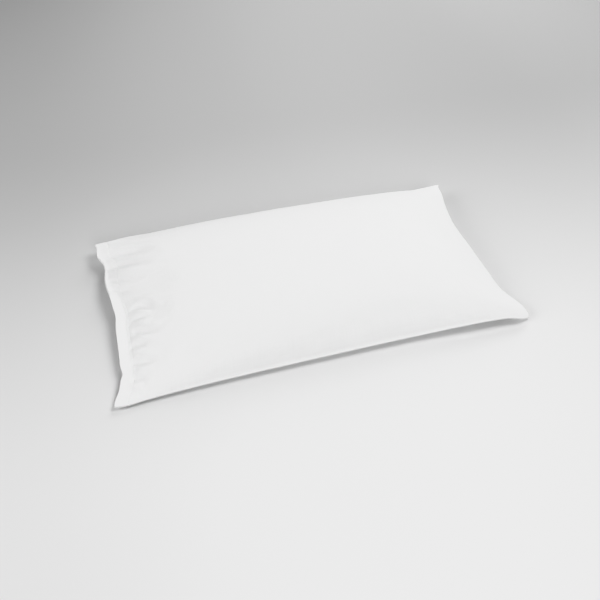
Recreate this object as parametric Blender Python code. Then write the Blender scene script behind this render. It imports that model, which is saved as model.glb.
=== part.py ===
"""A plain white pillowcase with its pillow inside, lying on its back: one filled solid.

-X is the mouth, the open end with the hem, and +X the closed end. -Y is the front seam and +Y the
back seam. Z = 0 is the surface that the case lies on, and X = Y = 0 is under its middle.
Lengths are in metres. Along and across run from -1 at one edge of the case to +1 at the other.
"""

import math
from collections import namedtuple

import bmesh
import bpy

# The case: an 80 by 40 cm bag, a little shorter and narrower now that the pillow rounds it out.
EAR_TO_EAR_LENGTH = 0.780
EAR_TO_EAR_WIDTH = 0.398
HEM_THICKNESS = 0.003
EAR_BLUNTNESS = 0.004
SEAM_LIP = 0.0025

# The filling: how far its crown stands above the seams, and how it falls away to each edge. It
# starts inside the flat lip of the seams, and further in under the slack hem of the mouth, except
# at the back, where it lifts the hem too. It eases in softly everywhere.
CROWN_RISE = 0.074
EMPTY_MOUTH = 0.0175
EMPTY_MOUTH_AT_BACK = 0.004
BACK_STARTS = 0.10
BACK_IS_REACHED = 0.45
MOUTH_EASE = 0.045
SEAM_EASE = 0.016
MOUTH_SLOPE = 2.3
CLOSED_SLOPE = 3.4
SIDE_SLOPE = 2.5
END_ROUNDNESS = 0.75
SIDE_ROUNDNESS = 0.57
EAR_EMPTINESS = 0.5
FLAT_FROM_FILL = 0.5
UNDERSIDE_CURVE = 1.6

# The seam line: its height in the middle, how far it climbs to the back and to the closed end, and
# how far the front seam lifts off the surface towards the closed end.
SEAM_HEIGHT = 0.024
SEAM_CLIMB_TO_BACK = 0.011
FRONT_SEAM_CLIMB = 0.004
FRONT_SEAM_LIFT = 0.006
LIFT_START = 0.35
LIFT_END = 0.80
EAR_DROOP = 0.005

# How each edge is drawn in between its ears. Lean is how much more it is drawn in at its far end,
# and reach is how quickly the pull dies out across the case.
Edge = namedtuple("Edge", "draw_in flatness lean reach")
MOUTH_EDGE = Edge(draw_in=0.022, flatness=5.4, lean=0.0, reach=2.0)
CLOSED_EDGE = Edge(draw_in=0.035, flatness=3.4, lean=0.0, reach=2.0)
FRONT_EDGE = Edge(draw_in=0.007, flatness=3.8, lean=0.0, reach=1.5)
BACK_EDGE = Edge(draw_in=0.010, flatness=3.5, lean=0.3, reach=1.5)

# The slack edges wander in and out. A push is outwards, away from the pillow, and the place is the
# distance along that edge, from -1 at one ear to +1 at the other.
Wave = namedtuple("Wave", "place half_width push")
MOUTH_WAVES = (
    Wave(place=0.80, half_width=0.09, push=0.009),
    Wave(place=0.42, half_width=0.20, push=0.0065),
    Wave(place=-0.05, half_width=0.10, push=-0.003),
    Wave(place=-0.68, half_width=0.05, push=-0.0035),
    Wave(place=-0.93, half_width=0.07, push=0.003),
)
CLOSED_WAVES = (
    Wave(place=0.97, half_width=0.10, push=-0.009),
    Wave(place=0.30, half_width=0.25, push=-0.003),
    Wave(place=-0.62, half_width=0.14, push=-0.0045),
    Wave(place=-0.90, half_width=0.10, push=0.0025),
)
FRONT_WAVES = (
    Wave(place=0.95, half_width=0.06, push=0.005),
    Wave(place=0.78, half_width=0.28, push=0.005),
    Wave(place=-0.95, half_width=0.06, push=0.002),
)
BACK_WAVES = (
    Wave(place=-0.93, half_width=0.08, push=-0.004),
)

# The empty corners: end and side say which, and the tip drops by this much more than the rest.
Ear = namedtuple("Ear", "end side tip_droop")
EARS = (
    Ear(end=-1, side=-1, tip_droop=-0.003),
    Ear(end=-1, side=1, tip_droop=0.0035),
    Ear(end=1, side=-1, tip_droop=0.016),
    Ear(end=1, side=1, tip_droop=-0.004),
)

# The slack cloth at the back of the mouth, which sinks between the seam and the pillow.
HOLLOW_DEPTH = 0.008
HOLLOW_ACROSS = 0.62
HOLLOW_HALF_WIDTH = 0.24
HOLLOW_END = -0.70

# The main puckers, soft troughs that start on the hem or behind it and die out on the pillow. The
# bend is how far the middle of a pucker lies to the left of the straight line to its end.
Pucker = namedtuple("Pucker", "start end bend half_width depth")
PUCKERS = (
    Pucker(start=(-0.392, 0.172), end=(-0.276, 0.104), bend=0.004, half_width=0.014, depth=0.0050),
    Pucker(start=(-0.386, 0.134), end=(-0.280, 0.072), bend=0.003, half_width=0.011, depth=0.0050),
    Pucker(start=(-0.380, 0.093), end=(-0.308, 0.044), bend=0.002, half_width=0.009, depth=0.0034),
    Pucker(start=(-0.339, -0.006), end=(-0.293, -0.050), bend=0.011, half_width=0.009, depth=0.0032),
    Pucker(start=(-0.340, -0.052), end=(-0.296, -0.078), bend=-0.003, half_width=0.009, depth=0.0032),
    Pucker(start=(-0.347, -0.081), end=(-0.314, -0.092), bend=0.002, half_width=0.009, depth=0.0028),
    Pucker(start=(-0.352, -0.112), end=(-0.312, -0.123), bend=-0.002, half_width=0.009, depth=0.0032),
    Pucker(start=(-0.352, -0.147), end=(-0.332, -0.155), bend=0.0, half_width=0.009, depth=0.0024),
)

# Where the mesh has its lines: each stretch runs on from the one before to "end" in equal cells.
Stretch = namedtuple("Stretch", "end cells")
LINES_ALONG = (
    Stretch(end=-0.92, cells=5),
    Stretch(end=-0.70, cells=11),
    Stretch(end=0.70, cells=22),
    Stretch(end=0.93, cells=9),
    Stretch(end=1.0, cells=6),
)
LINES_ACROSS = (
    Stretch(end=-0.88, cells=6),
    Stretch(end=0.88, cells=38),
    Stretch(end=1.0, cells=6),
)

COTTON_WHITE = (0.86, 0.86, 0.87, 1.0)
COTTON_ROUGHNESS = 0.85


def mesh_lines(stretches):
    """Positions from -1 to 1, closer together where the surface turns most."""
    lines = [-1.0]
    for stretch in stretches:
        start = lines[-1]
        for cell in range(1, stretch.cells + 1):
            lines.append(start + (stretch.end - start) * cell / stretch.cells)
    return lines


def arch(position, flatness):
    """1 in the middle of an edge and 0 at its ends, flatter in the middle as flatness grows."""
    return 1.0 - abs(position) ** flatness


def hump(position, centre, half_width):
    return math.exp(-(((position - centre) / half_width) ** 2))


def ramp(value, start, end):
    """0 before start, 1 after end, and a smooth rise between."""
    share = min(max((value - start) / (end - start), 0.0), 1.0)
    return share * share * (3.0 - 2.0 * share)


def edge_pull(edge, waves, position):
    """How far an edge lies inside the straight line between its two ears."""
    drawn_in = edge.draw_in * arch(position, edge.flatness) * (1.0 + edge.lean * position)
    pushed_out = sum(wave.push * hump(position, wave.place, wave.half_width) for wave in waves)
    return drawn_in - pushed_out


def outline_point(along, across):
    """X and Y of a point of the case, with all four edges drawn in by the filling."""
    from_mouth = edge_pull(MOUTH_EDGE, MOUTH_WAVES, across) * ((1.0 - along) / 2.0) ** MOUTH_EDGE.reach
    from_closed = edge_pull(CLOSED_EDGE, CLOSED_WAVES, across) * ((1.0 + along) / 2.0) ** CLOSED_EDGE.reach
    from_front = edge_pull(FRONT_EDGE, FRONT_WAVES, along) * ((1.0 - across) / 2.0) ** FRONT_EDGE.reach
    from_back = edge_pull(BACK_EDGE, BACK_WAVES, along) * ((1.0 + across) / 2.0) ** BACK_EDGE.reach
    blunting = EAR_BLUNTNESS * abs(along * across) ** 24
    x = EAR_TO_EAR_LENGTH / 2.0 * along + from_mouth - from_closed - math.copysign(blunting, along)
    y = EAR_TO_EAR_WIDTH / 2.0 * across + from_front - from_back - math.copysign(blunting, across)
    return x, y


def eased(rise, ease):
    """The same rise from 0 to 1, but starting softly."""
    return (math.hypot(rise, ease) - ease) / (math.hypot(1.0, ease) - ease)


def filling(along, across):
    """How full the case is at a point: 1 at the crown, and 0 at the seams and along the mouth."""
    half_length = EAR_TO_EAR_LENGTH / 2.0
    half_width = EAR_TO_EAR_WIDTH / 2.0
    if along < 0.0:
        at_back = ramp(across, BACK_STARTS, BACK_IS_REACHED)
        empty = EMPTY_MOUTH + (EMPTY_MOUTH_AT_BACK - EMPTY_MOUTH) * at_back
        to_mouth = min(-along / (1.0 - empty / half_length), 1.0)
        lengthways = eased(1.0 - to_mouth ** MOUTH_SLOPE, MOUTH_EASE)
    else:
        to_closed = min(along / (1.0 - SEAM_LIP / half_length), 1.0)
        lengthways = eased(1.0 - to_closed ** CLOSED_SLOPE, SEAM_EASE)
    to_side = min(abs(across) / (1.0 - SEAM_LIP / half_width), 1.0)
    crossways = eased(1.0 - to_side ** SIDE_SLOPE, SEAM_EASE)
    ears = 1.0 - EAR_EMPTINESS * abs(along * across) ** 6
    return lengthways ** END_ROUNDNESS * crossways ** SIDE_ROUNDNESS * ears


def seam_height(along, across):
    """Height of the seam line, carried on through the inside of the case."""
    height = SEAM_HEIGHT + SEAM_CLIMB_TO_BACK * across
    height += FRONT_SEAM_CLIMB * along * (1.0 - across) / 2.0
    height += FRONT_SEAM_LIFT * ramp(along, LIFT_START, LIFT_END) * ((1.0 - across) / 2.0) ** 2
    height -= EAR_DROOP * abs(along * across) ** 4
    for ear in EARS:
        if along * ear.end > 0.0 and across * ear.side > 0.0:
            height -= ear.tip_droop * abs(along * across) ** 14
    hollow = hump(across, HOLLOW_ACROSS, HOLLOW_HALF_WIDTH) * (1.0 - ramp(along, -1.0, HOLLOW_END))
    return height - HOLLOW_DEPTH * hollow


def pucker_depth(x, y):
    """Depth of the puckers at a point, with each one fading out at its sides and ends."""
    depth = 0.0
    for pucker in PUCKERS:
        start_x, start_y = pucker.start
        run_x = pucker.end[0] - start_x
        run_y = pucker.end[1] - start_y
        length = math.hypot(run_x, run_y)
        lengthways = ((x - start_x) * run_x + (y - start_y) * run_y) / length ** 2
        sideways = ((y - start_y) * run_x - (x - start_x) * run_y) / length
        sideways -= 4.0 * pucker.bend * lengthways * (1.0 - lengthways)
        if 0.0 < lengthways < 1.0:
            fade = math.sin(math.pi * lengthways) ** 1.2
            depth += pucker.depth * fade * hump(sideways, 0.0, pucker.half_width)
    return depth


def case_points(along, across):
    """The point of the upper side, and the point of the underside below it."""
    x, y = outline_point(along, across)
    seam = seam_height(along, across)
    fill = filling(along, across)
    upper = seam + HEM_THICKNESS / 2.0 + CROWN_RISE * fill
    if fill > 0.0:
        upper -= min(pucker_depth(x, y), 0.7 * CROWN_RISE * fill)
    curl = 1.0 - min(fill / FLAT_FROM_FILL, 1.0)
    under = (seam - HEM_THICKNESS / 2.0) * curl ** UNDERSIDE_CURVE
    return (x, y, upper), (x, y, under)


def build_case(name):
    """The case as one closed mesh: upper side, underside, and a low wall of hem around the edge."""
    lines_along = mesh_lines(LINES_ALONG)
    lines_across = mesh_lines(LINES_ACROSS)
    pairs = [[case_points(along, across) for across in lines_across] for along in lines_along]
    outline_x = [upper[0] for column in pairs for upper, under in column]
    outline_y = [upper[1] for column in pairs for upper, under in column]
    middle_x = (min(outline_x) + max(outline_x)) / 2.0
    middle_y = (min(outline_y) + max(outline_y)) / 2.0

    mesh = bmesh.new()
    sides = []
    for side in (0, 1):
        columns = []
        for column in pairs:
            points = [pair[side] for pair in column]
            columns.append([mesh.verts.new((x - middle_x, y - middle_y, z)) for x, y, z in points])
        sides.append(columns)
    upper, under = sides

    last_along = len(lines_along) - 1
    last_across = len(lines_across) - 1
    for i in range(last_along):
        for j in range(last_across):
            mesh.faces.new((upper[i][j], upper[i + 1][j], upper[i + 1][j + 1], upper[i][j + 1]))
            mesh.faces.new((under[i][j], under[i][j + 1], under[i + 1][j + 1], under[i + 1][j]))
    rim = [(i, 0) for i in range(last_along)]
    rim += [(last_along, j) for j in range(last_across)]
    rim += [(i, last_across) for i in range(last_along, 0, -1)]
    rim += [(0, j) for j in range(last_across, 0, -1)]
    for (i, j), (next_i, next_j) in zip(rim, rim[1:] + rim[:1]):
        mesh.faces.new((under[i][j], under[next_i][next_j], upper[next_i][next_j], upper[i][j]))

    resting = [face for face in mesh.faces if all(corner.co.z == 0.0 for corner in face.verts)]
    bmesh.ops.dissolve_faces(mesh, faces=resting, use_verts=True)

    data = bpy.data.meshes.new(name)
    mesh.to_mesh(data)
    mesh.free()
    case = bpy.data.objects.new(name, data)
    bpy.context.scene.collection.objects.link(case)
    return case


def white_cotton():
    cotton = bpy.data.materials.new("white_cotton")
    cotton.use_nodes = True
    shader = cotton.node_tree.nodes["Principled BSDF"]
    shader.inputs["Base Color"].default_value = COTTON_WHITE
    shader.inputs["Roughness"].default_value = COTTON_ROUGHNESS
    shader.inputs["Metallic"].default_value = 0.0
    return cotton


for old_object in list(bpy.data.objects):
    bpy.data.objects.remove(old_object, do_unlink=True)

pillowcase = build_case("pillowcase")
pillowcase.data.materials.append(white_cotton())
pillowcase.data.shade_smooth()
pillowcase.data.set_sharp_from_angle(angle=math.radians(50.0))
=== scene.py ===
"""A plain white pillowcase with its pillow inside, lying on its back on a pale studio floor.

-X is the mouth, the open end with the hem, and +X the closed end. -Y is the front seam and +Y the
back seam. Lengths are in metres. Along and across run from -1 at one edge of the case to +1.
"""

import math
from collections import namedtuple

import bmesh
import bpy
import numpy as np
from mathutils import Matrix, Vector


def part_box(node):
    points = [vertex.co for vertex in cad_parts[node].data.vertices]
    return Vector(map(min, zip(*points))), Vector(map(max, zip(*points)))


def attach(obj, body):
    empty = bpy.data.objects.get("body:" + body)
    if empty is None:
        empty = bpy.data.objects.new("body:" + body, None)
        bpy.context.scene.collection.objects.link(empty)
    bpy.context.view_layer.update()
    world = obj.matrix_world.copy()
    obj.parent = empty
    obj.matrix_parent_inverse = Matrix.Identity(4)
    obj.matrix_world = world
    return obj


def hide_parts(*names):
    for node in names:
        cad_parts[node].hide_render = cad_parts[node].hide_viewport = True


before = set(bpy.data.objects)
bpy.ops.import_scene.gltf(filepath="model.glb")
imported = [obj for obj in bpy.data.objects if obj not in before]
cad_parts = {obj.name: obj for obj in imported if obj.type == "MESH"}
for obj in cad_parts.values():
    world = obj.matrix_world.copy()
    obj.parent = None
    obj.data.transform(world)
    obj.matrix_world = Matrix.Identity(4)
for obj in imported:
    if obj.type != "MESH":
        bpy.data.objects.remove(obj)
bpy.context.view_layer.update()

# --------------------------------------------------------------------------------------------------
# The case. One length of white percale, sewn inside out down its edges and then turned, with a hem
# around its mouth. The pillow in it rounds it out, draws its edges in between the four empty ears
# and gathers it at the hem, so case and pillow are one padded piece, as they are in the frame.
# --------------------------------------------------------------------------------------------------
case_low, case_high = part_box("pillowcase")
flat_length = 0.80
flat_width = 0.40
ear_to_ear_length = 0.780
ear_to_ear_width = 0.398
ear_bluntness = 0.004
seam_thickness = 0.0016
hem_along = -0.94
seam_lip = 0.0025
seam_ease = 0.016
crown_rise = 0.072

# The filling starts inside the flat lip of the seams, and further in under the slack hem, except at
# the back of the mouth. Slopes and roundnesses say how it rises from each edge to the crown.
empty_mouth = 0.0175
empty_mouth_at_back = 0.004
back_starts = 0.10
back_is_reached = 0.45
mouth_ease = 0.045
mouth_slope = 2.3
closed_slope = 3.4
side_slope = 2.5
end_roundness = 0.75
side_roundness = 0.57
ear_emptiness = 0.5
flat_from_fill = 0.5
underside_curve = 1.6

# The seam's height in the middle, its climb towards the back and along the front, its lift where the
# pillow holds the front up near the closed end, how far the ears droop below it, and the hollow of
# the slack cloth at the back of the mouth.
seam_height = 0.024
climb_to_back = 0.011
climb_along_front = 0.004
front_lift = 0.006
ear_droop = 0.005
hollow_depth = 0.008
hollow_across = 0.62
hollow_half_width = 0.24
hollow_end = -0.70

# How each edge is drawn in between its ears. Lean is how much more it is drawn in at its far end.
# The slack edges wander too: a push is outwards, at a place from -1 to +1 along the edge.
Edge = namedtuple("Edge", "draw_in flatness lean waves")
Wave = namedtuple("Wave", "place half_width push")
mouth_edge = Edge(draw_in=0.022, flatness=5.4, lean=0.0, waves=(
    Wave(place=0.80, half_width=0.09, push=0.009),
    Wave(place=0.42, half_width=0.20, push=0.0065),
    Wave(place=-0.05, half_width=0.10, push=-0.003),
    Wave(place=-0.68, half_width=0.05, push=-0.0035),
    Wave(place=-0.93, half_width=0.07, push=0.003),
))
closed_edge = Edge(draw_in=0.035, flatness=3.4, lean=0.0, waves=(
    Wave(place=0.97, half_width=0.10, push=-0.009),
    Wave(place=0.30, half_width=0.25, push=-0.003),
    Wave(place=-0.62, half_width=0.14, push=-0.0045),
    Wave(place=-0.90, half_width=0.10, push=0.0025),
))
front_edge = Edge(draw_in=0.007, flatness=3.8, lean=0.0, waves=(
    Wave(place=-0.95, half_width=0.06, push=0.002),
    Wave(place=0.78, half_width=0.28, push=0.005),
    Wave(place=0.95, half_width=0.06, push=0.005),
))
back_edge = Edge(draw_in=0.010, flatness=3.5, lean=0.3, waves=(
    Wave(place=-0.93, half_width=0.08, push=-0.004),
))

# The empty corners: end and side say which, and the tip lifts by this much more than the rest.
Ear = namedtuple("Ear", "end side tip_lift")
ears = (
    Ear(end=-1, side=-1, tip_lift=0.003),
    Ear(end=-1, side=1, tip_lift=-0.0035),
    Ear(end=1, side=-1, tip_lift=-0.016),
    Ear(end=1, side=1, tip_lift=0.004),
)

# Where the cloth has its lines and, for the settling, its knots: each stretch runs on from the one
# before to "end" in equal cells. Lines lie on the hem's stitching and where the seams' lips end.
closed_lip = 1.0 - 2.0 * seam_lip / ear_to_ear_length
side_lip = 1.0 - 2.0 * seam_lip / ear_to_ear_width
Stretch = namedtuple("Stretch", "end cells")
lines_along = (
    Stretch(end=-0.955, cells=12),
    Stretch(end=hem_along, cells=9),
    Stretch(end=-0.925, cells=9),
    Stretch(end=-0.72, cells=54),
    Stretch(end=-0.50, cells=30),
    Stretch(end=0.60, cells=88),
    Stretch(end=0.90, cells=36),
    Stretch(end=closed_lip, cells=16),
    Stretch(end=1.0, cells=3),
)
lines_across = (
    Stretch(end=-side_lip, cells=3),
    Stretch(end=-0.90, cells=10),
    Stretch(end=0.90, cells=138),
    Stretch(end=side_lip, cells=10),
    Stretch(end=1.0, cells=3),
)
knots_along = (
    Stretch(end=hem_along, cells=5),
    Stretch(end=-0.60, cells=40),
    Stretch(end=0.80, cells=78),
    Stretch(end=closed_lip, cells=15),
    Stretch(end=1.0, cells=1),
)
knots_across = (
    Stretch(end=-side_lip, cells=1),
    Stretch(end=side_lip, cells=108),
    Stretch(end=1.0, cells=1),
)


def mesh_lines(stretches):
    """Positions from -1 to 1, closer together where the cloth turns or gathers most."""
    lines = [-1.0]
    for stretch in stretches:
        start = lines[-1]
        run = stretch.end - start
        lines += [start + run * cell / stretch.cells for cell in range(1, stretch.cells + 1)]
    return np.array(lines)


def arch(position, flatness):
    """1 in the middle of an edge and 0 at its ends."""
    return 1.0 - np.abs(position) ** flatness


def hump(position, centre, half_width):
    """1 at the centre, falling away smoothly on both sides."""
    return np.exp(-(((position - centre) / half_width) ** 2))


def ramp(value, start, end):
    """0 before start, 1 after end, and a smooth rise between."""
    share = np.clip((value - start) / (end - start), 0.0, 1.0)
    return share * share * (3.0 - 2.0 * share)


def eased(rise, ease):
    """The same rise from 0 to 1, but starting softly."""
    return (np.hypot(rise, ease) - ease) / (math.hypot(1.0, ease) - ease)


# The main puckers. The hem holds the cloth shorter than the pillow stretches it, so it gathers into
# soft troughs that die out on the pillow's shoulder. The four at the back run in from the mouth's
# edge, and the others start on the hem or a little behind it.
Pucker = namedtuple("Pucker", "start end bend half_width depth")
puckers = (
    Pucker(start=(-0.392, 0.172), end=(-0.276, 0.104), bend=0.004, half_width=0.0100, depth=0.0048),
    Pucker(start=(-0.386, 0.134), end=(-0.280, 0.072), bend=0.003, half_width=0.0080, depth=0.0047),
    Pucker(start=(-0.380, 0.093), end=(-0.308, 0.044), bend=0.002, half_width=0.0060, depth=0.0027),
    Pucker(start=(-0.375, 0.064), end=(-0.318, 0.026), bend=0.002, half_width=0.0060, depth=0.0019),
    Pucker(start=(-0.339, 0.000), end=(-0.293, -0.044), bend=0.011, half_width=0.0080, depth=0.0055),
    Pucker(start=(-0.338, -0.026), end=(-0.298, -0.043), bend=0.001, half_width=0.0050, depth=0.0036),
    Pucker(start=(-0.340, -0.052), end=(-0.292, -0.080), bend=-0.002, half_width=0.0070, depth=0.0051),
    Pucker(start=(-0.349, -0.080), end=(-0.316, -0.097), bend=0.002, half_width=0.0070, depth=0.0039),
    Pucker(start=(-0.352, -0.112), end=(-0.305, -0.132), bend=-0.002, half_width=0.0070, depth=0.0050),
    Pucker(start=(-0.356, -0.146), end=(-0.330, -0.157), bend=0.0, half_width=0.0070, depth=0.0037),
    Pucker(start=(-0.366, -0.168), end=(-0.342, -0.174), bend=0.0, half_width=0.0060, depth=0.0014),
)


def pucker_rise(x, y, pucker):
    """Height that one pucker adds: a trough, with the cloth it takes up rolled to its two sides."""
    start_x, start_y = pucker.start
    run_x = pucker.end[0] - start_x
    run_y = pucker.end[1] - start_y
    length = math.hypot(run_x, run_y)
    lengthwise = ((x - start_x) * run_x + (y - start_y) * run_y) / length ** 2
    sideways = ((y - start_y) * run_x - (x - start_x) * run_y) / length
    sideways -= 4.0 * pucker.bend * lengthwise * (1.0 - lengthwise)
    sideways /= pucker.half_width
    # It is deepest two fifths of the way along, and its rolls are a little under half as high.
    fade = np.sin(math.pi * np.clip(lengthwise, 0.0, 1.0) ** 0.75) ** 1.2
    rolled = 0.45 * (hump(sideways, 1.7, 1.0) + hump(sideways, -1.7, 1.0))
    return pucker.depth * fade * (rolled - hump(sideways, 0.0, 1.0))


def edge_pull(edge, position):
    """How far the pillow draws in one edge of the case, wandering where the cloth is slack."""
    pull = edge.draw_in * arch(position, edge.flatness) * (1.0 + edge.lean * position)
    return pull - sum(wave.push * hump(position, wave.place, wave.half_width) for wave in edge.waves)


def case_sides(along, across):
    """Points of the case's upper side and underside, as the pillow fills it, before it settles."""
    to_mouth_end = (1.0 - along) / 2.0
    to_closed_end = (1.0 + along) / 2.0
    to_front = (1.0 - across) / 2.0
    to_back = (1.0 + across) / 2.0
    near_ears = np.abs(along * across)

    # The outline: each edge is drawn in between its ears, and the pull dies out across the case.
    blunting = ear_bluntness * near_ears ** 24
    x = ear_to_ear_length / 2.0 * along - np.sign(along) * blunting
    x += edge_pull(mouth_edge, across) * to_mouth_end ** 2
    x -= edge_pull(closed_edge, across) * to_closed_end ** 2
    y = ear_to_ear_width / 2.0 * across - np.sign(across) * blunting
    y += edge_pull(front_edge, along) * to_front ** 1.5
    y -= edge_pull(back_edge, along) * to_back ** 1.5
    x += (case_low.x + case_high.x - x.min() - x.max()) / 2.0
    y += (case_low.y + case_high.y - y.min() - y.max()) / 2.0

    # How full the case is: 1 at the crown, and 0 at the seams and along the mouth.
    at_back = ramp(across, back_starts, back_is_reached)
    empty = empty_mouth + (empty_mouth_at_back - empty_mouth) * at_back
    to_mouth = np.clip(-along / (1.0 - 2.0 * empty / ear_to_ear_length), 0.0, 1.0)
    to_closed = np.clip(along / closed_lip, 0.0, 1.0)
    to_side = np.clip(np.abs(across) / side_lip, 0.0, 1.0)
    lengthways = eased(1.0 - to_mouth ** mouth_slope, mouth_ease)
    lengthways *= eased(1.0 - to_closed ** closed_slope, seam_ease)
    crossways = eased(1.0 - to_side ** side_slope, seam_ease)
    fill = lengthways ** end_roundness * crossways ** side_roundness
    fill *= 1.0 - ear_emptiness * near_ears ** 6

    # The seam line: low at the front, higher at the back, with drooping ears.
    seam = seam_height + climb_to_back * across + climb_along_front * along * to_front
    seam += front_lift * ramp(along, 0.35, 0.80) * to_front ** 2
    seam -= ear_droop * near_ears ** 4
    for ear in ears:
        seam += ear.tip_lift * near_ears ** 14 * (along * ear.end > 0) * (across * ear.side > 0)
    # The slack cloth at the back of the mouth sinks between the seam and the pillow.
    near_mouth = 1.0 - ramp(along, -1.0, hollow_end)
    seam -= hollow_depth * hump(across, hollow_across, hollow_half_width) * near_mouth

    upper = seam + seam_thickness / 2.0 + crown_rise * fill
    upper += sum(pucker_rise(x, y, pucker) for pucker in puckers)
    off_the_floor = (1.0 - np.clip(fill / flat_from_fill, 0.0, 1.0)) ** underside_curve
    under = (seam - seam_thickness / 2.0) * off_the_floor
    return np.stack([x, y, upper], -1), np.stack([x, y, under], -1)


def squares(corner):
    """The faces between a grid of corner numbers."""
    corners = [corner[:-1, :-1], corner[1:, :-1], corner[1:, 1:], corner[:-1, 1:]]
    return np.stack(corners, -1).reshape(-1, 4)


# Settling: the cloth between the seams is cut a little larger than the pillow needs, most of all
# behind the hem. It is let go over the pressing pillow for a moment, and finds its own small folds.
slack_everywhere = 0.001
slack_at_hem = 0.007
slack_reach = 0.13
slack_starts = 0.03
pillow_press = 0.6
settling_frames = 20
farthest_move = 0.006


def settled_moves(along, across):
    """How far each knot of the upper side and of the underside moves while the cloth settles."""
    upper, under = case_sides(along, across)
    sewn = (np.abs(across) == 1.0) | (along == 1.0)
    upper_corner = np.arange(along.size).reshape(along.shape)
    under_corner = upper_corner.copy()
    under_corner[~sewn] = along.size + np.arange(np.count_nonzero(~sewn))
    start = np.concatenate([upper.reshape(-1, 3), under[~sewn]])
    faces = np.concatenate([squares(upper_corner), squares(under_corner)[:, ::-1]])
    mesh = bpy.data.meshes.new("settling")
    mesh.from_pydata(start.tolist(), [], faces.tolist())
    cloth = bpy.data.objects.new("settling", mesh)
    bpy.context.scene.collection.objects.link(cloth)

    on_hem = along <= hem_along
    from_side_seam = ear_to_ear_width / 2.0 * (1.0 - np.abs(across))
    from_seam = np.minimum(from_side_seam, ear_to_ear_length / 2.0 * (1.0 - along))
    gathered = hump(along, hem_along, slack_reach) * ramp(from_seam, 0.0, slack_starts)
    slack = slack_everywhere + slack_at_hem * gathered
    held = (on_hem | (along >= closed_lip) | (np.abs(across) >= side_lip)).astype(float)
    slack[held > 0.0] = 0.0
    resting = under[..., 2] == 0.0
    taut = 1.0 - slack / slack.max()
    shares = {
        "held": (held, np.maximum(held, resting)),
        "taut": (taut, taut),
        "filled": (1.0 - held, 1.0 - held),
    }
    for name, (on_upper, on_under) in shares.items():
        group = cloth.vertex_groups.new(name=name)
        weights = np.concatenate([on_upper.ravel(), on_under[~sewn]])
        for corner, weight in enumerate(weights.tolist()):
            group.add([corner], weight, "REPLACE")

    settling = cloth.modifiers.new("settling", "CLOTH")
    settling.settings.quality = 5
    settling.settings.mass = 0.15
    settling.settings.tension_stiffness = 40.0
    settling.settings.compression_stiffness = 10.0
    settling.settings.shear_stiffness = 5.0
    settling.settings.bending_stiffness = 0.1
    settling.settings.use_pressure = True
    settling.settings.uniform_pressure_force = pillow_press
    settling.settings.vertex_group_pressure = "filled"
    settling.settings.vertex_group_mass = "held"
    settling.settings.vertex_group_shrink = "taut"
    settling.settings.shrink_min = -slack.max()
    settling.settings.shrink_max = 0.0
    settling.settings.effector_weights.gravity = 0.0
    settling.collision_settings.use_collision = False
    settling.point_cache.frame_end = settling_frames
    for frame_number in range(1, settling_frames + 1):
        bpy.context.scene.frame_set(frame_number)
    settled = cloth.evaluated_get(bpy.context.evaluated_depsgraph_get()).to_mesh()
    end = np.empty(start.size, np.float32)
    settled.vertices.foreach_get("co", end)
    bpy.context.scene.frame_set(1)
    bpy.data.objects.remove(cloth)
    bpy.data.meshes.remove(mesh)

    move = end.reshape(-1, 3) - start
    length = np.maximum(np.linalg.norm(move, axis=1, keepdims=True), 1e-9)
    move *= farthest_move * np.tanh(length / farthest_move) / length
    return move[upper_corner], move[under_corner]


def smooth_shares(lines, knots):
    """How much each knot counts at each line, for a smooth curve through all the knots."""
    place = np.interp(lines, knots, np.arange(len(knots)))
    before = np.clip(np.floor(place).astype(int), 0, len(knots) - 2)
    t = place - before
    shares = np.zeros((len(lines), len(knots)))
    for step, share in (
        (-1, -0.5 * t + t ** 2 - 0.5 * t ** 3),
        (0, 1.0 - 2.5 * t ** 2 + 1.5 * t ** 3),
        (1, 0.5 * t + 2.0 * t ** 2 - 1.5 * t ** 3),
        (2, -0.5 * t ** 2 + 0.5 * t ** 3),
    ):
        np.add.at(shares, (np.arange(len(lines)), np.clip(before + step, 0, len(knots) - 1)), share)
    return shares


case_along = mesh_lines(lines_along)
case_across = mesh_lines(lines_across)
along, across = np.meshgrid(case_along, case_across, indexing="ij")
upper, under = case_sides(along, across)
settled_along = mesh_lines(knots_along)
settled_across = mesh_lines(knots_across)
moves = settled_moves(*np.meshgrid(settled_along, settled_across, indexing="ij"))
shares_along = smooth_shares(case_along, settled_along)
shares_across = smooth_shares(case_across, settled_across)
for side, move in zip((upper, under), moves):
    side += np.einsum("ai,ijk,cj->ack", shares_along, move, shares_across)


def gathers(along_seam, from_seam, spacing, reach, depth, seed):
    """Small soft troughs that run in from a seam, none quite like the next."""
    draw = np.random.default_rng(seed)
    rise = np.zeros_like(along_seam)
    place = along_seam.min()
    while place < along_seam.max():
        place += spacing * draw.uniform(0.6, 1.5)
        half_width = spacing * draw.uniform(0.22, 0.36)
        slant = draw.uniform(-0.5, 0.5)
        from_seam_share = from_seam / (reach * draw.uniform(0.5, 1.5))
        fade = from_seam_share * np.exp(1.0 - from_seam_share)
        trough = hump(along_seam - slant * from_seam, place, half_width)
        rise -= depth * draw.uniform(0.3, 1.0) * fade * trough
    return rise


# Where each point lies on the cloth, in metres from the seams and the hem.
cloth_x = ear_to_ear_length / 2.0 * along
cloth_y = ear_to_ear_width / 2.0 * across
from_mouth = ear_to_ear_length / 2.0 * (along + 1.0)
from_hem_line = ear_to_ear_length / 2.0 * (along - hem_along)
from_front = ear_to_ear_width / 2.0 * (across + 1.0)
from_back = ear_to_ear_width / 2.0 * (1.0 - across)
from_closed = ear_to_ear_length / 2.0 * (1.0 - along)
from_sides = np.minimum(from_front, from_back)
from_sewn = np.minimum(from_sides, from_closed)
on_hem = ramp(-from_hem_line, -0.0008, 0.0004)
off_hem = 1.0 - on_hem

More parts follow.
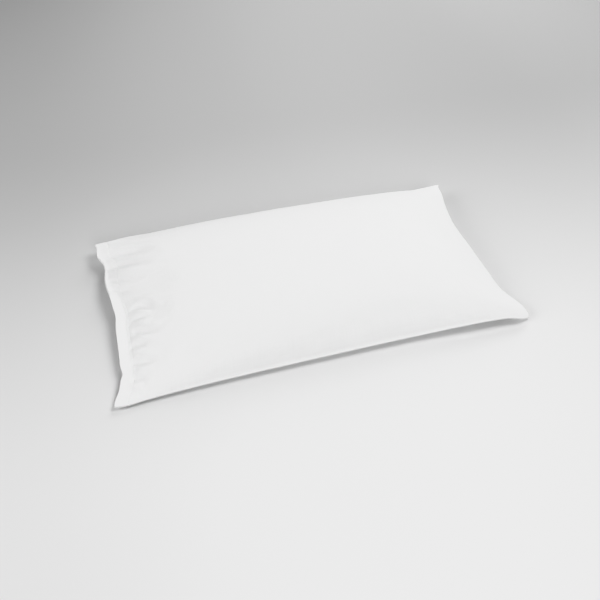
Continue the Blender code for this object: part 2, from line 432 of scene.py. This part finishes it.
# The small gathers that the sewing leaves along the seams and on both sides of the hem's stitching,
# and how far the seam's turned-in edge, the folded hem and the sunk stitching step the cloth.
seam_gathers = {"spacing": 0.012, "reach": 0.005, "depth": 0.0005}
hem_gathers = {"spacing": 0.010, "reach": 0.006, "depth": 0.0005}
gathers_on_hem = {"spacing": 0.008, "reach": 0.004, "depth": 0.0003}
seam_allowance = 0.0004
folded_hem = 0.0005
stitching_sinks = 0.0006


def fine_relief(seed):
    """Height of the sewing's own marks on one side of the case, outwards from the cloth."""
    relief = gathers(cloth_x, from_front, seed=seed, **seam_gathers) * off_hem
    relief += gathers(cloth_x, from_back, seed=seed + 1, **seam_gathers) * off_hem
    relief += gathers(cloth_y, from_closed, seed=seed + 2, **seam_gathers)
    # At the hem they are full size at the front and in the middle, and a quarter of it at the back.
    at_hem = gathers(cloth_y, np.maximum(from_hem_line, 0.0), seed=seed + 3, **hem_gathers)
    at_hem += gathers(cloth_y, np.maximum(-from_hem_line, 0.0), seed=seed + 4, **gathers_on_hem)
    relief += at_hem * (1.0 - 0.75 * ramp(across, 0.10, 0.40))
    # The turned-in edges of the cloth lie along the seams, and the folded hem is three layers thick.
    turned_in = (1.0 - ramp(from_sewn, 0.0065, 0.0095)) * ramp(from_sewn, 0.0, 0.002)
    relief += seam_allowance * turned_in + folded_hem * on_hem
    # The hem's stitching sinks into it.
    relief -= stitching_sinks * hump(from_hem_line, 0.0, 0.0012) * ramp(from_sides, 0.0, 0.003)
    return relief


# At the mouth the two layers part a little in two places, and don't end quite level.
mouth_gap = 0.0018 * hump(across, 0.40, 0.28) + 0.0012 * hump(across, -0.42, 0.30)
mouth_gap *= 1.0 - ramp(from_mouth, 0.0, 0.020)
under_layer_back = 0.0022 * hump(across, -0.30, 0.35) - 0.0016 * hump(across, 0.50, 0.25)
under_layer_back *= 1.0 - ramp(from_mouth, 0.0, 0.024)
upper[..., 2] += fine_relief(seed=11) + mouth_gap / 2.0
under[..., 2] -= fine_relief(seed=31) + mouth_gap / 2.0
under[..., 0] += under_layer_back
laid_flat = case_sides(along, across)[1][..., 2] == 0.0
under[..., 2] = np.where(laid_flat, 0.0, np.maximum(under[..., 2], 0.0))

# The rim: the rows of points that join the two sides around the edge. On the sewn edges they turn
# down into the seam's fine groove. At the mouth they run in between the two layers of the hem.
hem_layer = 0.0012
slot_depth = 0.022
groove_depth = 0.0005
RimRow = namedtuple("RimRow", "through bulge inward")
rim_rows = (
    RimRow(through=0.12, bulge=0.60, inward=0.0),
    RimRow(through=0.45, bulge=1.0, inward=0.0),
    RimRow(through=0.80, bulge=0.75, inward=0.0),
    RimRow(through=1.0, bulge=0.0, inward=0.06),
    RimRow(through=1.0, bulge=0.0, inward=0.5),
    RimRow(through=1.0, bulge=0.0, inward=1.0),
)
last_i = along.shape[0] - 1
last_j = along.shape[1] - 1
rim_corners = [(i, 0) for i in range(last_i)]
rim_corners += [(last_i, j) for j in range(last_j)]
rim_corners += [(i, last_j) for i in range(last_i, 0, -1)]
rim_corners += [(0, j) for j in range(last_j, 0, -1)]
rim_i, rim_j = np.array(rim_corners).T
upper_rim = upper[rim_i, rim_j]
under_rim = under[rim_i, rim_j]
rim_run = np.roll(upper_rim, -1, 0) - np.roll(upper_rim, 1, 0)
outwards = np.stack([rim_run[:, 1], -rim_run[:, 0], np.zeros(len(rim_run))], -1)
outwards /= np.linalg.norm(outwards, axis=1, keepdims=True)
at_mouth = (rim_i == 0) * ramp(from_sides[rim_i, rim_j], 0.002, 0.014)
inward_depth = groove_depth + (slot_depth - groove_depth) * at_mouth
thickness = upper_rim[:, 2] - under_rim[:, 2]
layer = np.minimum(0.46 * thickness, hem_layer)
rim_upper = []
rim_under = []
for row in rim_rows:
    sideways = outwards * (0.5 * layer * row.bulge - inward_depth * row.inward)[:, None]
    drop = np.stack([np.zeros_like(layer), np.zeros_like(layer), layer * row.through], -1)
    rim_upper.append(upper_rim + sideways - drop)
    rim_under.append(under_rim + sideways + drop)
rim_grid = np.stack([upper_rim, *rim_upper, *reversed(rim_under), under_rim])

# One closed mesh of it all.
points = np.concatenate([upper.reshape(-1, 3), under.reshape(-1, 3), rim_grid[1:-1].reshape(-1, 3)])
upper_corner = np.arange(along.size).reshape(along.shape)
under_corner = upper_corner + along.size
rows_between = len(rim_grid) - 2
rim_corner = 2 * along.size + np.arange(rows_between * len(rim_i)).reshape(rows_between, -1)
rim_corner = np.concatenate([[upper_corner[rim_i, rim_j]], rim_corner, [under_corner[rim_i, rim_j]]])
rim_corner = np.concatenate([rim_corner, rim_corner[:, :1]], 1)
faces = np.concatenate([
    squares(upper_corner),
    squares(under_corner)[:, ::-1],
    squares(rim_corner)[:, ::-1],
])

# The flat cloth's own coordinates: the underside follows on from the upper side past the closed end.
upper_place = np.stack([flat_length / 2.0 * along, flat_width / 2.0 * across], -1)
under_place = np.stack([flat_length * (1.0 - along / 2.0), flat_width / 2.0 * across], -1)
rim_steps = np.linalg.norm(np.diff(rim_grid, axis=0), axis=2)
beyond = np.concatenate([np.zeros((1, len(rim_i))), np.cumsum(rim_steps, 0)])
past_ends = np.sign(along) * (np.abs(along) == 1.0)
past_sides = np.sign(across) * (np.abs(across) == 1.0)
flat_outwards = np.stack([past_ends, past_sides], -1)[rim_i, rim_j]
rim_place_upper = upper_place[rim_i, rim_j] + beyond[..., None] * flat_outwards
under_outwards = flat_outwards * (-1.0, 1.0)
rim_place_under = under_place[rim_i, rim_j] + (beyond[-1] - beyond)[..., None] * under_outwards
half_way = len(rim_rows) + 1


def face_places(place):
    """The cloth coordinates of each face's four corners, in the order that squares() gives."""
    corners = [place[:-1, :-1], place[1:, :-1], place[1:, 1:], place[:-1, 1:]]
    return np.stack(corners, -2).reshape(-1, 4, 2)


rim_places = [
    face_places(np.concatenate([place, place[:, :1]], 1))
    for place in (rim_place_upper[:half_way + 1], rim_place_under[half_way:])
]
places = np.concatenate([
    face_places(upper_place),
    face_places(under_place)[:, ::-1],
    np.concatenate(rim_places)[:, ::-1],
])

case_mesh = bpy.data.meshes.new("case_cloth")
case_mesh.from_pydata(points.tolist(), [], faces.tolist())
cloth_map = case_mesh.uv_layers.new(name="cloth")
cloth_map.data.foreach_set("uv", places.astype(np.float32).ravel())
case = bmesh.new()
case.from_mesh(case_mesh)
resting = [face for face in case.faces if all(corner.co.z == 0.0 for corner in face.verts)]
bmesh.ops.dissolve_faces(case, faces=resting, use_verts=True)
case.to_mesh(case_mesh)
case.free()
case_mesh.shade_smooth()
case_cloth = bpy.data.objects.new("case_cloth", case_mesh)
bpy.context.scene.collection.objects.link(case_cloth)


def worked_out(tree, operation, first, second=None):
    """The result of one Math node, from numbers or from other nodes' results."""
    step = tree.nodes.new("ShaderNodeMath")
    step.operation = operation
    for place, value in enumerate((first, second)):
        if isinstance(value, bpy.types.NodeSocket):
            tree.links.new(value, step.inputs[place])
        elif value is not None:
            step.inputs[place].default_value = value
    return step.outputs["Value"]


def make_cotton_fibres():
    """Shared by cloth and thread: spun cotton's faint unevenness of tone, finish and surface."""
    group = bpy.data.node_groups.new("cotton_fibres", "ShaderNodeTree")
    group.interface.new_socket("Place", in_out="INPUT", socket_type="NodeSocketVector")
    for name, value in (("Patch Size", 0.06), ("Fibre Size", 0.003), ("Tone Change", 0.03)):
        size_socket = group.interface.new_socket(name, in_out="INPUT", socket_type="NodeSocketFloat")
        size_socket.default_value = value
    group.interface.new_socket("Colour", in_out="INPUT", socket_type="NodeSocketColor")
    group.interface.new_socket("Colour", in_out="OUTPUT", socket_type="NodeSocketColor")
    group.interface.new_socket("Roughness", in_out="OUTPUT", socket_type="NodeSocketFloat")
    group.interface.new_socket("Height", in_out="OUTPUT", socket_type="NodeSocketFloat")
    given = group.nodes.new("NodeGroupInput")
    result = group.nodes.new("NodeGroupOutput")

    noises = []
    for size_name in ("Patch Size", "Fibre Size"):
        noise = group.nodes.new("ShaderNodeTexNoise")
        noise.inputs["Detail"].default_value = 3.0
        group.links.new(given.outputs["Place"], noise.inputs["Vector"])
        group.links.new(worked_out(group, "DIVIDE", 1.0, given.outputs[size_name]), noise.inputs["Scale"])
        noises.append(noise.outputs["Fac"])
    patches, fibres = noises

    unevenness = worked_out(group, "ADD", patches, fibres)
    shade = worked_out(group, "MULTIPLY", unevenness, given.outputs["Tone Change"])
    tone = group.nodes.new("ShaderNodeMix")
    tone.data_type = "RGBA"
    tone_sockets = {socket.identifier: socket for socket in tone.inputs}
    tone_sockets["B_Color"].default_value = (0.0, 0.0, 0.0, 1.0)
    group.links.new(shade, tone_sockets["Factor_Float"])
    group.links.new(given.outputs["Colour"], tone_sockets["A_Color"])
    mixed = next(socket for socket in tone.outputs if socket.identifier == "Result_Color")
    group.links.new(mixed, result.inputs["Colour"])
    roughness = worked_out(group, "ADD", worked_out(group, "MULTIPLY", fibres, 0.12), 0.80)
    group.links.new(roughness, result.inputs["Roughness"])
    crumples = worked_out(group, "MULTIPLY", patches, 0.7)
    group.links.new(worked_out(group, "ADD", crumples, fibres), result.inputs["Height"])
    return group


def make_plain_weave():
    """Percale: warp and weft go over each other by turns, and no two threads are equally thick."""
    group = bpy.data.node_groups.new("plain_weave", "ShaderNodeTree")
    group.interface.new_socket("Place", in_out="INPUT", socket_type="NodeSocketVector")
    for name, value in (("Thread Spacing", 0.00033), ("Slub Length", 0.04), ("Slub Width", 0.0011)):
        size_socket = group.interface.new_socket(name, in_out="INPUT", socket_type="NodeSocketFloat")
        size_socket.default_value = value
    group.interface.new_socket("Height", in_out="OUTPUT", socket_type="NodeSocketFloat")
    group.interface.new_socket("Slubs", in_out="OUTPUT", socket_type="NodeSocketFloat")
    given = group.nodes.new("NodeGroupInput")
    result = group.nodes.new("NodeGroupOutput")
    split = group.nodes.new("ShaderNodeSeparateXYZ")
    group.links.new(given.outputs["Place"], split.inputs["Vector"])

    half_turns = worked_out(group, "DIVIDE", math.pi, given.outputs["Thread Spacing"])
    crossings = [
        worked_out(group, "COSINE", worked_out(group, "MULTIPLY", split.outputs[axis], half_turns))
        for axis in ("X", "Y")
    ]
    over_and_under = worked_out(group, "ABSOLUTE", worked_out(group, "MULTIPLY", *crossings))
    rounded = worked_out(group, "POWER", over_and_under, 0.5)

    slubs = []
    for long_axis, short_axis in (("X", "Y"), ("Y", "X")):
        stretched = group.nodes.new("ShaderNodeCombineXYZ")
        along_thread = worked_out(group, "DIVIDE", split.outputs[long_axis], given.outputs["Slub Length"])
        group.links.new(along_thread, stretched.inputs[long_axis])
        across_thread = worked_out(group, "DIVIDE", split.outputs[short_axis], given.outputs["Slub Width"])
        group.links.new(across_thread, stretched.inputs[short_axis])
        noise = group.nodes.new("ShaderNodeTexNoise")
        noise.inputs["Scale"].default_value = 1.0
        noise.inputs["Detail"].default_value = 2.0
        group.links.new(stretched.outputs["Vector"], noise.inputs["Vector"])
        slubs.append(noise.outputs["Fac"])
    both_ways = worked_out(group, "MULTIPLY", worked_out(group, "ADD", *slubs), 0.5)
    group.links.new(both_ways, result.inputs["Slubs"])
    group.links.new(worked_out(group, "ADD", rounded, both_ways), result.inputs["Height"])
    return group


cotton_fibres = make_cotton_fibres()
white_cotton = bpy.data.materials.new("white_cotton")
white_cotton.use_nodes = True
cloth_tree = white_cotton.node_tree
cotton = cloth_tree.nodes["Principled BSDF"]
cotton.inputs["Sheen Weight"].default_value = 0.12
cotton.inputs["Sheen Roughness"].default_value = 0.45
cotton.inputs["Specular IOR Level"].default_value = 0.35
cloth_place = cloth_tree.nodes.new("ShaderNodeUVMap")
cloth_place.uv_map = "cloth"
percale = cloth_tree.nodes.new("ShaderNodeGroup")
percale.node_tree = make_plain_weave()
cloth_tree.links.new(cloth_place.outputs["UV"], percale.inputs["Place"])

# Bleached white, a touch greyer along the thicker threads.
thread_tone = cloth_tree.nodes.new("ShaderNodeValToRGB")
thread_tone.color_ramp.elements[0].position = 0.30
thread_tone.color_ramp.elements[0].color = (0.895, 0.895, 0.895, 1.0)
thread_tone.color_ramp.elements[1].position = 0.70
thread_tone.color_ramp.elements[1].color = (0.865, 0.865, 0.865, 1.0)
cloth_tree.links.new(percale.outputs["Slubs"], thread_tone.inputs["Fac"])
cloth_fibres = cloth_tree.nodes.new("ShaderNodeGroup")
cloth_fibres.node_tree = cotton_fibres
cloth_tree.links.new(cloth_place.outputs["UV"], cloth_fibres.inputs["Place"])
cloth_tree.links.new(thread_tone.outputs["Color"], cloth_fibres.inputs["Colour"])
cloth_tree.links.new(cloth_fibres.outputs["Colour"], cotton.inputs["Base Color"])
cloth_tree.links.new(cloth_fibres.outputs["Roughness"], cotton.inputs["Roughness"])

# Two depths of relief: the soft crumple of washed cotton, and the weave itself on top of it.
crumple = cloth_tree.nodes.new("ShaderNodeBump")
crumple.inputs["Distance"].default_value = 0.00012
cloth_tree.links.new(cloth_fibres.outputs["Height"], crumple.inputs["Height"])
weave = cloth_tree.nodes.new("ShaderNodeBump")
weave.inputs["Distance"].default_value = 0.00002
cloth_tree.links.new(percale.outputs["Height"], weave.inputs["Height"])
cloth_tree.links.new(crumple.outputs["Normal"], weave.inputs["Normal"])
cloth_tree.links.new(weave.outputs["Normal"], cotton.inputs["Normal"])
case_mesh.materials.append(white_cotton)

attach(case_cloth, "root")
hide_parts("pillowcase")

# --------------------------------------------------------------------------------------------------
# Hem stitching. A row of lockstitch in white cotton sewing thread, sewn around the mouth by machine
# along the inner fold of the hem, and drawn a little way into the cloth. It shows on both layers.
# --------------------------------------------------------------------------------------------------
sewing = bpy.data.node_groups.new("lockstitch", "GeometryNodeTree")
sewing.interface.new_socket("Sewing Line", in_out="INPUT", socket_type="NodeSocketGeometry")
for name, value in (
    ("Stitch Spacing", 0.0028),
    ("Stitch Length", 0.0022),
    ("Thread Thickness", 0.0004),
    ("Loose Turn", 0.07),
):
    size_socket = sewing.interface.new_socket(name, in_out="INPUT", socket_type="NodeSocketFloat")
    size_socket.default_value = value
outward_way = sewing.interface.new_socket("Outwards", in_out="INPUT", socket_type="NodeSocketVector")
thread_choice = sewing.interface.new_socket("Thread", in_out="INPUT", socket_type="NodeSocketMaterial")
sewing.interface.new_socket("Stitches", in_out="OUTPUT", socket_type="NodeSocketGeometry")
sewing_given = sewing.nodes.new("NodeGroupInput")
sewing_result = sewing.nodes.new("NodeGroupOutput")


def sewing_node(kind, **inputs):
    """A node of the sewing tree, with its inputs set to values or joined to other nodes."""
    node = sewing.nodes.new(kind)
    for name, value in inputs.items():
        socket = node.inputs[name.replace("_", " ")]
        if isinstance(value, bpy.types.NodeSocket):
            sewing.links.new(value, socket)
        else:
            socket.default_value = value
    return node


def sized(factor, name):
    """A share of one of the sewing's sizes."""
    return worked_out(sewing, "MULTIPLY", factor, sewing_given.outputs[name])


# One stitch: a short arc of thread whose two ends dive into the cloth.
stitch_ends = []
for end, height in ((-0.5, -0.7), (-0.35, 0.9), (0.35, 0.9), (0.5, -0.7)):
    point = sewing_node(
        "ShaderNodeCombineXYZ",
        X=sized(end, "Stitch Length"), Z=sized(height, "Thread Thickness"),
    )
    stitch_ends.append(point.outputs["Vector"])
arc = sewing_node(
    "GeometryNodeCurvePrimitiveBezierSegment",
    Resolution=6,
    Start=stitch_ends[0],
    Start_Handle=stitch_ends[1],
    End_Handle=stitch_ends[2],
    End=stitch_ends[3],
)
thread_round = sewing_node(
    "GeometryNodeCurvePrimitiveCircle",
    Resolution=6, Radius=sized(0.5, "Thread Thickness"),
)
stitch = sewing_node(
    "GeometryNodeCurveToMesh",
    Curve=arc.outputs["Curve"], Profile_Curve=thread_round.outputs["Curve"], Fill_Caps=True,
)
row = sewing.nodes.new("GeometryNodeCurveToPoints")
row.mode = "LENGTH"
sewing.links.new(sewing_given.outputs["Sewing Line"], row.inputs["Curve"])
sewing.links.new(sewing_given.outputs["Stitch Spacing"], row.inputs["Length"])
lengthways = sewing_node("FunctionNodeAlignRotationToVector", Vector=row.outputs["Tangent"])
lengthways.axis = "X"
facing = sewing_node(
    "FunctionNodeAlignRotationToVector",
    Rotation=lengthways.outputs["Rotation"], Vector=sewing_given.outputs["Outwards"],
)
facing.axis = "Z"
facing.pivot_axis = "X"
loose = sewing.nodes.new("FunctionNodeRandomValue")
loose.data_type = "FLOAT"
loose_sockets = {socket.identifier: socket for socket in loose.inputs}
sewing.links.new(sized(-1.0, "Loose Turn"), loose_sockets["Min_001"])
sewing.links.new(sized(1.0, "Loose Turn"), loose_sockets["Max_001"])
loose_sockets["Seed"].default_value = 5
loose_turn = next(socket for socket in loose.outputs if socket.identifier == "Value_001")
turn = sewing_node("ShaderNodeCombineXYZ", Z=loose_turn)
turned = sewing_node("FunctionNodeEulerToRotation", Euler=turn.outputs["Vector"])
laid = sewing_node(
    "FunctionNodeRotateRotation",
    Rotation=facing.outputs["Rotation"], Rotate_By=turned.outputs["Rotation"],
)
laid.rotation_space = "LOCAL"
sewn = sewing_node(
    "GeometryNodeInstanceOnPoints",
    Points=row.outputs["Points"], Instance=stitch.outputs["Mesh"], Rotation=laid.outputs["Rotation"],
)
one_mesh = sewing_node("GeometryNodeRealizeInstances", Geometry=sewn.outputs["Instances"])
threaded = sewing_node(
    "GeometryNodeSetMaterial",
    Geometry=one_mesh.outputs["Geometry"], Material=sewing_given.outputs["Thread"],
)
sewing.links.new(threaded.outputs["Geometry"], sewing_result.inputs["Stitches"])

sewing_thread = bpy.data.materials.new("sewing_thread")
sewing_thread.use_nodes = True
thread_tree = sewing_thread.node_tree
thread = thread_tree.nodes["Principled BSDF"]
thread.inputs["Sheen Weight"].default_value = 0.10
thread_place = thread_tree.nodes.new("ShaderNodeTexCoord")
thread_fibres = thread_tree.nodes.new("ShaderNodeGroup")
thread_fibres.node_tree = cotton_fibres
thread_fibres.inputs["Patch Size"].default_value = 0.01
thread_fibres.inputs["Fibre Size"].default_value = 0.0003
thread_fibres.inputs["Tone Change"].default_value = 0.04
thread_fibres.inputs["Colour"].default_value = (0.90, 0.90, 0.90, 1.0)
thread_tree.links.new(thread_place.outputs["Object"], thread_fibres.inputs["Place"])
thread_tree.links.new(thread_fibres.outputs["Colour"], thread.inputs["Base Color"])
thread_tree.links.new(thread_fibres.outputs["Roughness"], thread.inputs["Roughness"])
twist = thread_tree.nodes.new("ShaderNodeBump")
twist.inputs["Distance"].default_value = 0.00004
thread_tree.links.new(thread_fibres.outputs["Height"], twist.inputs["Height"])
thread_tree.links.new(twist.outputs["Normal"], thread.inputs["Normal"])

hem_row = int(np.argmin(np.abs(case_along - hem_along)))
between_seams = np.abs(case_across) < side_lip
stitch_rows = bmesh.new()
for layer, outwards_way in ((upper, (0.0, 0.0, 1.0)), (under, (0.0, 0.0, -1.0))):
    sewing_points = layer[hem_row][between_seams]
    sewing_curve = bpy.data.curves.new("sewing_line", "CURVE")
    sewing_curve.dimensions = "3D"
    path = sewing_curve.splines.new("POLY")
    path.points.add(len(sewing_points) - 1)
    weighted = np.column_stack([sewing_points, np.ones(len(sewing_points))])
    path.points.foreach_set("co", weighted.ravel())
    sewing_line = bpy.data.objects.new("sewing_line", sewing_curve)
    bpy.context.scene.collection.objects.link(sewing_line)
    stitcher = sewing_line.modifiers.new("lockstitch", "NODES")
    stitcher.node_group = sewing
    stitcher[outward_way.identifier] = outwards_way
    stitcher[thread_choice.identifier] = sewing_thread
    depsgraph = bpy.context.evaluated_depsgraph_get()
    sewn_row = bpy.data.meshes.new_from_object(sewing_line.evaluated_get(depsgraph), depsgraph=depsgraph)
    stitch_rows.from_mesh(sewn_row)
    bpy.data.meshes.remove(sewn_row)
    bpy.data.objects.remove(sewing_line)
    bpy.data.curves.remove(sewing_curve)
stitch_mesh = bpy.data.meshes.new("hem_stitching")
stitch_rows.to_mesh(stitch_mesh)
stitch_rows.free()
stitch_mesh.materials.append(sewing_thread)
stitch_mesh.shade_smooth()
hem_stitching = bpy.data.objects.new("hem_stitching", stitch_mesh)
bpy.context.scene.collection.objects.link(hem_stitching)
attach(hem_stitching, "root")

# --------------------------------------------------------------------------------------------------
# Studio. The case lies on a wide sheet of matt card. Its colour is painted near white in front of the case
# and greyer away from there, a painted shade standing in for light that falls off away from the front.
# Four big round soft boxes stand around it, at one distance and at the stated angles.
# --------------------------------------------------------------------------------------------------
floor_half = 12.0
floor_corners = [
    (-floor_half, -floor_half, 0.0),
    (floor_half, -floor_half, 0.0),
    (floor_half, floor_half, 0.0),
    (-floor_half, floor_half, 0.0),
]
floor_mesh = bpy.data.meshes.new("floor")
floor_mesh.from_pydata(floor_corners, [], [(0, 1, 2, 3)])
floor = bpy.data.objects.new("floor", floor_mesh)
bpy.context.scene.collection.objects.link(floor)
# The floor's material carries painted shade: a fall-off of light painted into its colour.
floor_painted_falloff = bpy.data.materials.new("floor_painted_falloff")
floor_painted_falloff.use_nodes = True
paint_tree = floor_painted_falloff.node_tree
paint = paint_tree.nodes["Principled BSDF"]
paint.inputs["Roughness"].default_value = 0.9
paint.inputs["Specular IOR Level"].default_value = 0.2
floor_place = paint_tree.nodes.new("ShaderNodeTexCoord")
floor_split = paint_tree.nodes.new("ShaderNodeSeparateXYZ")
paint_tree.links.new(floor_place.outputs["Object"], floor_split.inputs["Vector"])
# Painted shade: the card's colour is palest at the front, much greyer towards the back, and a little
# greyer towards both sides, standing in for light that falls off away from the front.
painted_falloff_parts = []
for axis, start, end, start_shade, end_shade in (
    ("Y", -0.40, 0.65, 0.81, 0.50),
    ("X", -0.60, -0.10, 0.915, 1.00),
    ("X", 0.10, 0.90, 1.00, 0.84),
):
    fading = paint_tree.nodes.new("ShaderNodeMapRange")
    fading.interpolation_type = "SMOOTHSTEP"
    fading.inputs["From Min"].default_value = start
    fading.inputs["From Max"].default_value = end
    fading.inputs["To Min"].default_value = start_shade
    fading.inputs["To Max"].default_value = end_shade
    paint_tree.links.new(floor_split.outputs[axis], fading.inputs["Value"])
    painted_falloff_parts.append(fading.outputs["Result"])
painted_falloff_back_and_left = worked_out(paint_tree, "MULTIPLY", painted_falloff_parts[0], painted_falloff_parts[1])
painted_floor_falloff = worked_out(paint_tree, "MULTIPLY", painted_falloff_back_and_left, painted_falloff_parts[2])
paint_tree.links.new(painted_floor_falloff, paint.inputs["Base Color"])
floor_mesh.materials.append(floor_painted_falloff)

world = bpy.data.worlds.new("studio_air")
world.use_nodes = True
world.node_tree.nodes["Background"].inputs["Color"].default_value = (1, 1, 1, 1)
world.node_tree.nodes["Background"].inputs["Strength"].default_value = 0.05
bpy.context.scene.world = world

light_distance = 2.8
light_size = 1.5


def soft_light(name, azimuth, elevation, power):
    """A round soft box that faces the middle of the floor. Its angles are in degrees."""
    light = bpy.data.lights.new(name, "AREA")
    light.shape = "DISK"
    light.size = light_size
    light.energy = power
    lamp = bpy.data.objects.new(name, light)
    level = light_distance * math.cos(math.radians(elevation))
    lamp.location = (
        level * math.cos(math.radians(azimuth)),
        level * math.sin(math.radians(azimuth)),
        light_distance * math.sin(math.radians(elevation)),
    )
    lamp.rotation_euler = (-lamp.location).to_track_quat("-Z", "Y").to_euler()
    bpy.context.scene.collection.objects.link(lamp)


soft_light("key_light", azimuth=0.0, elevation=55.0, power=44.0)
soft_light("back_light", azimuth=57.0, elevation=30.0, power=34.0)
soft_light("left_light", azimuth=180.0, elevation=30.0, power=39.0)
soft_light("front_light", azimuth=-90.0, elevation=30.0, power=32.5)

camera_place = Vector((-0.2892, -0.8267, 0.8834))
looking = Vector((0.22, 0.652, -0.7256)).normalized()
rough_right = Vector((0.9569, -0.289, 0.0304))
camera_up = rough_right.cross(looking).normalized()
camera_right = looking.cross(camera_up)
camera_data = bpy.data.cameras.new("camera")
camera_data.sensor_width = 36.0
camera_data.lens = 37.644
camera = bpy.data.objects.new("camera", camera_data)
camera_turn = Matrix((camera_right, camera_up, -looking)).transposed().to_4x4()
camera.matrix_world = Matrix.Translation(camera_place) @ camera_turn
bpy.context.scene.collection.objects.link(camera)
bpy.context.scene.camera = camera
bpy.context.scene.view_settings.view_transform = "Khronos PBR Neutral"
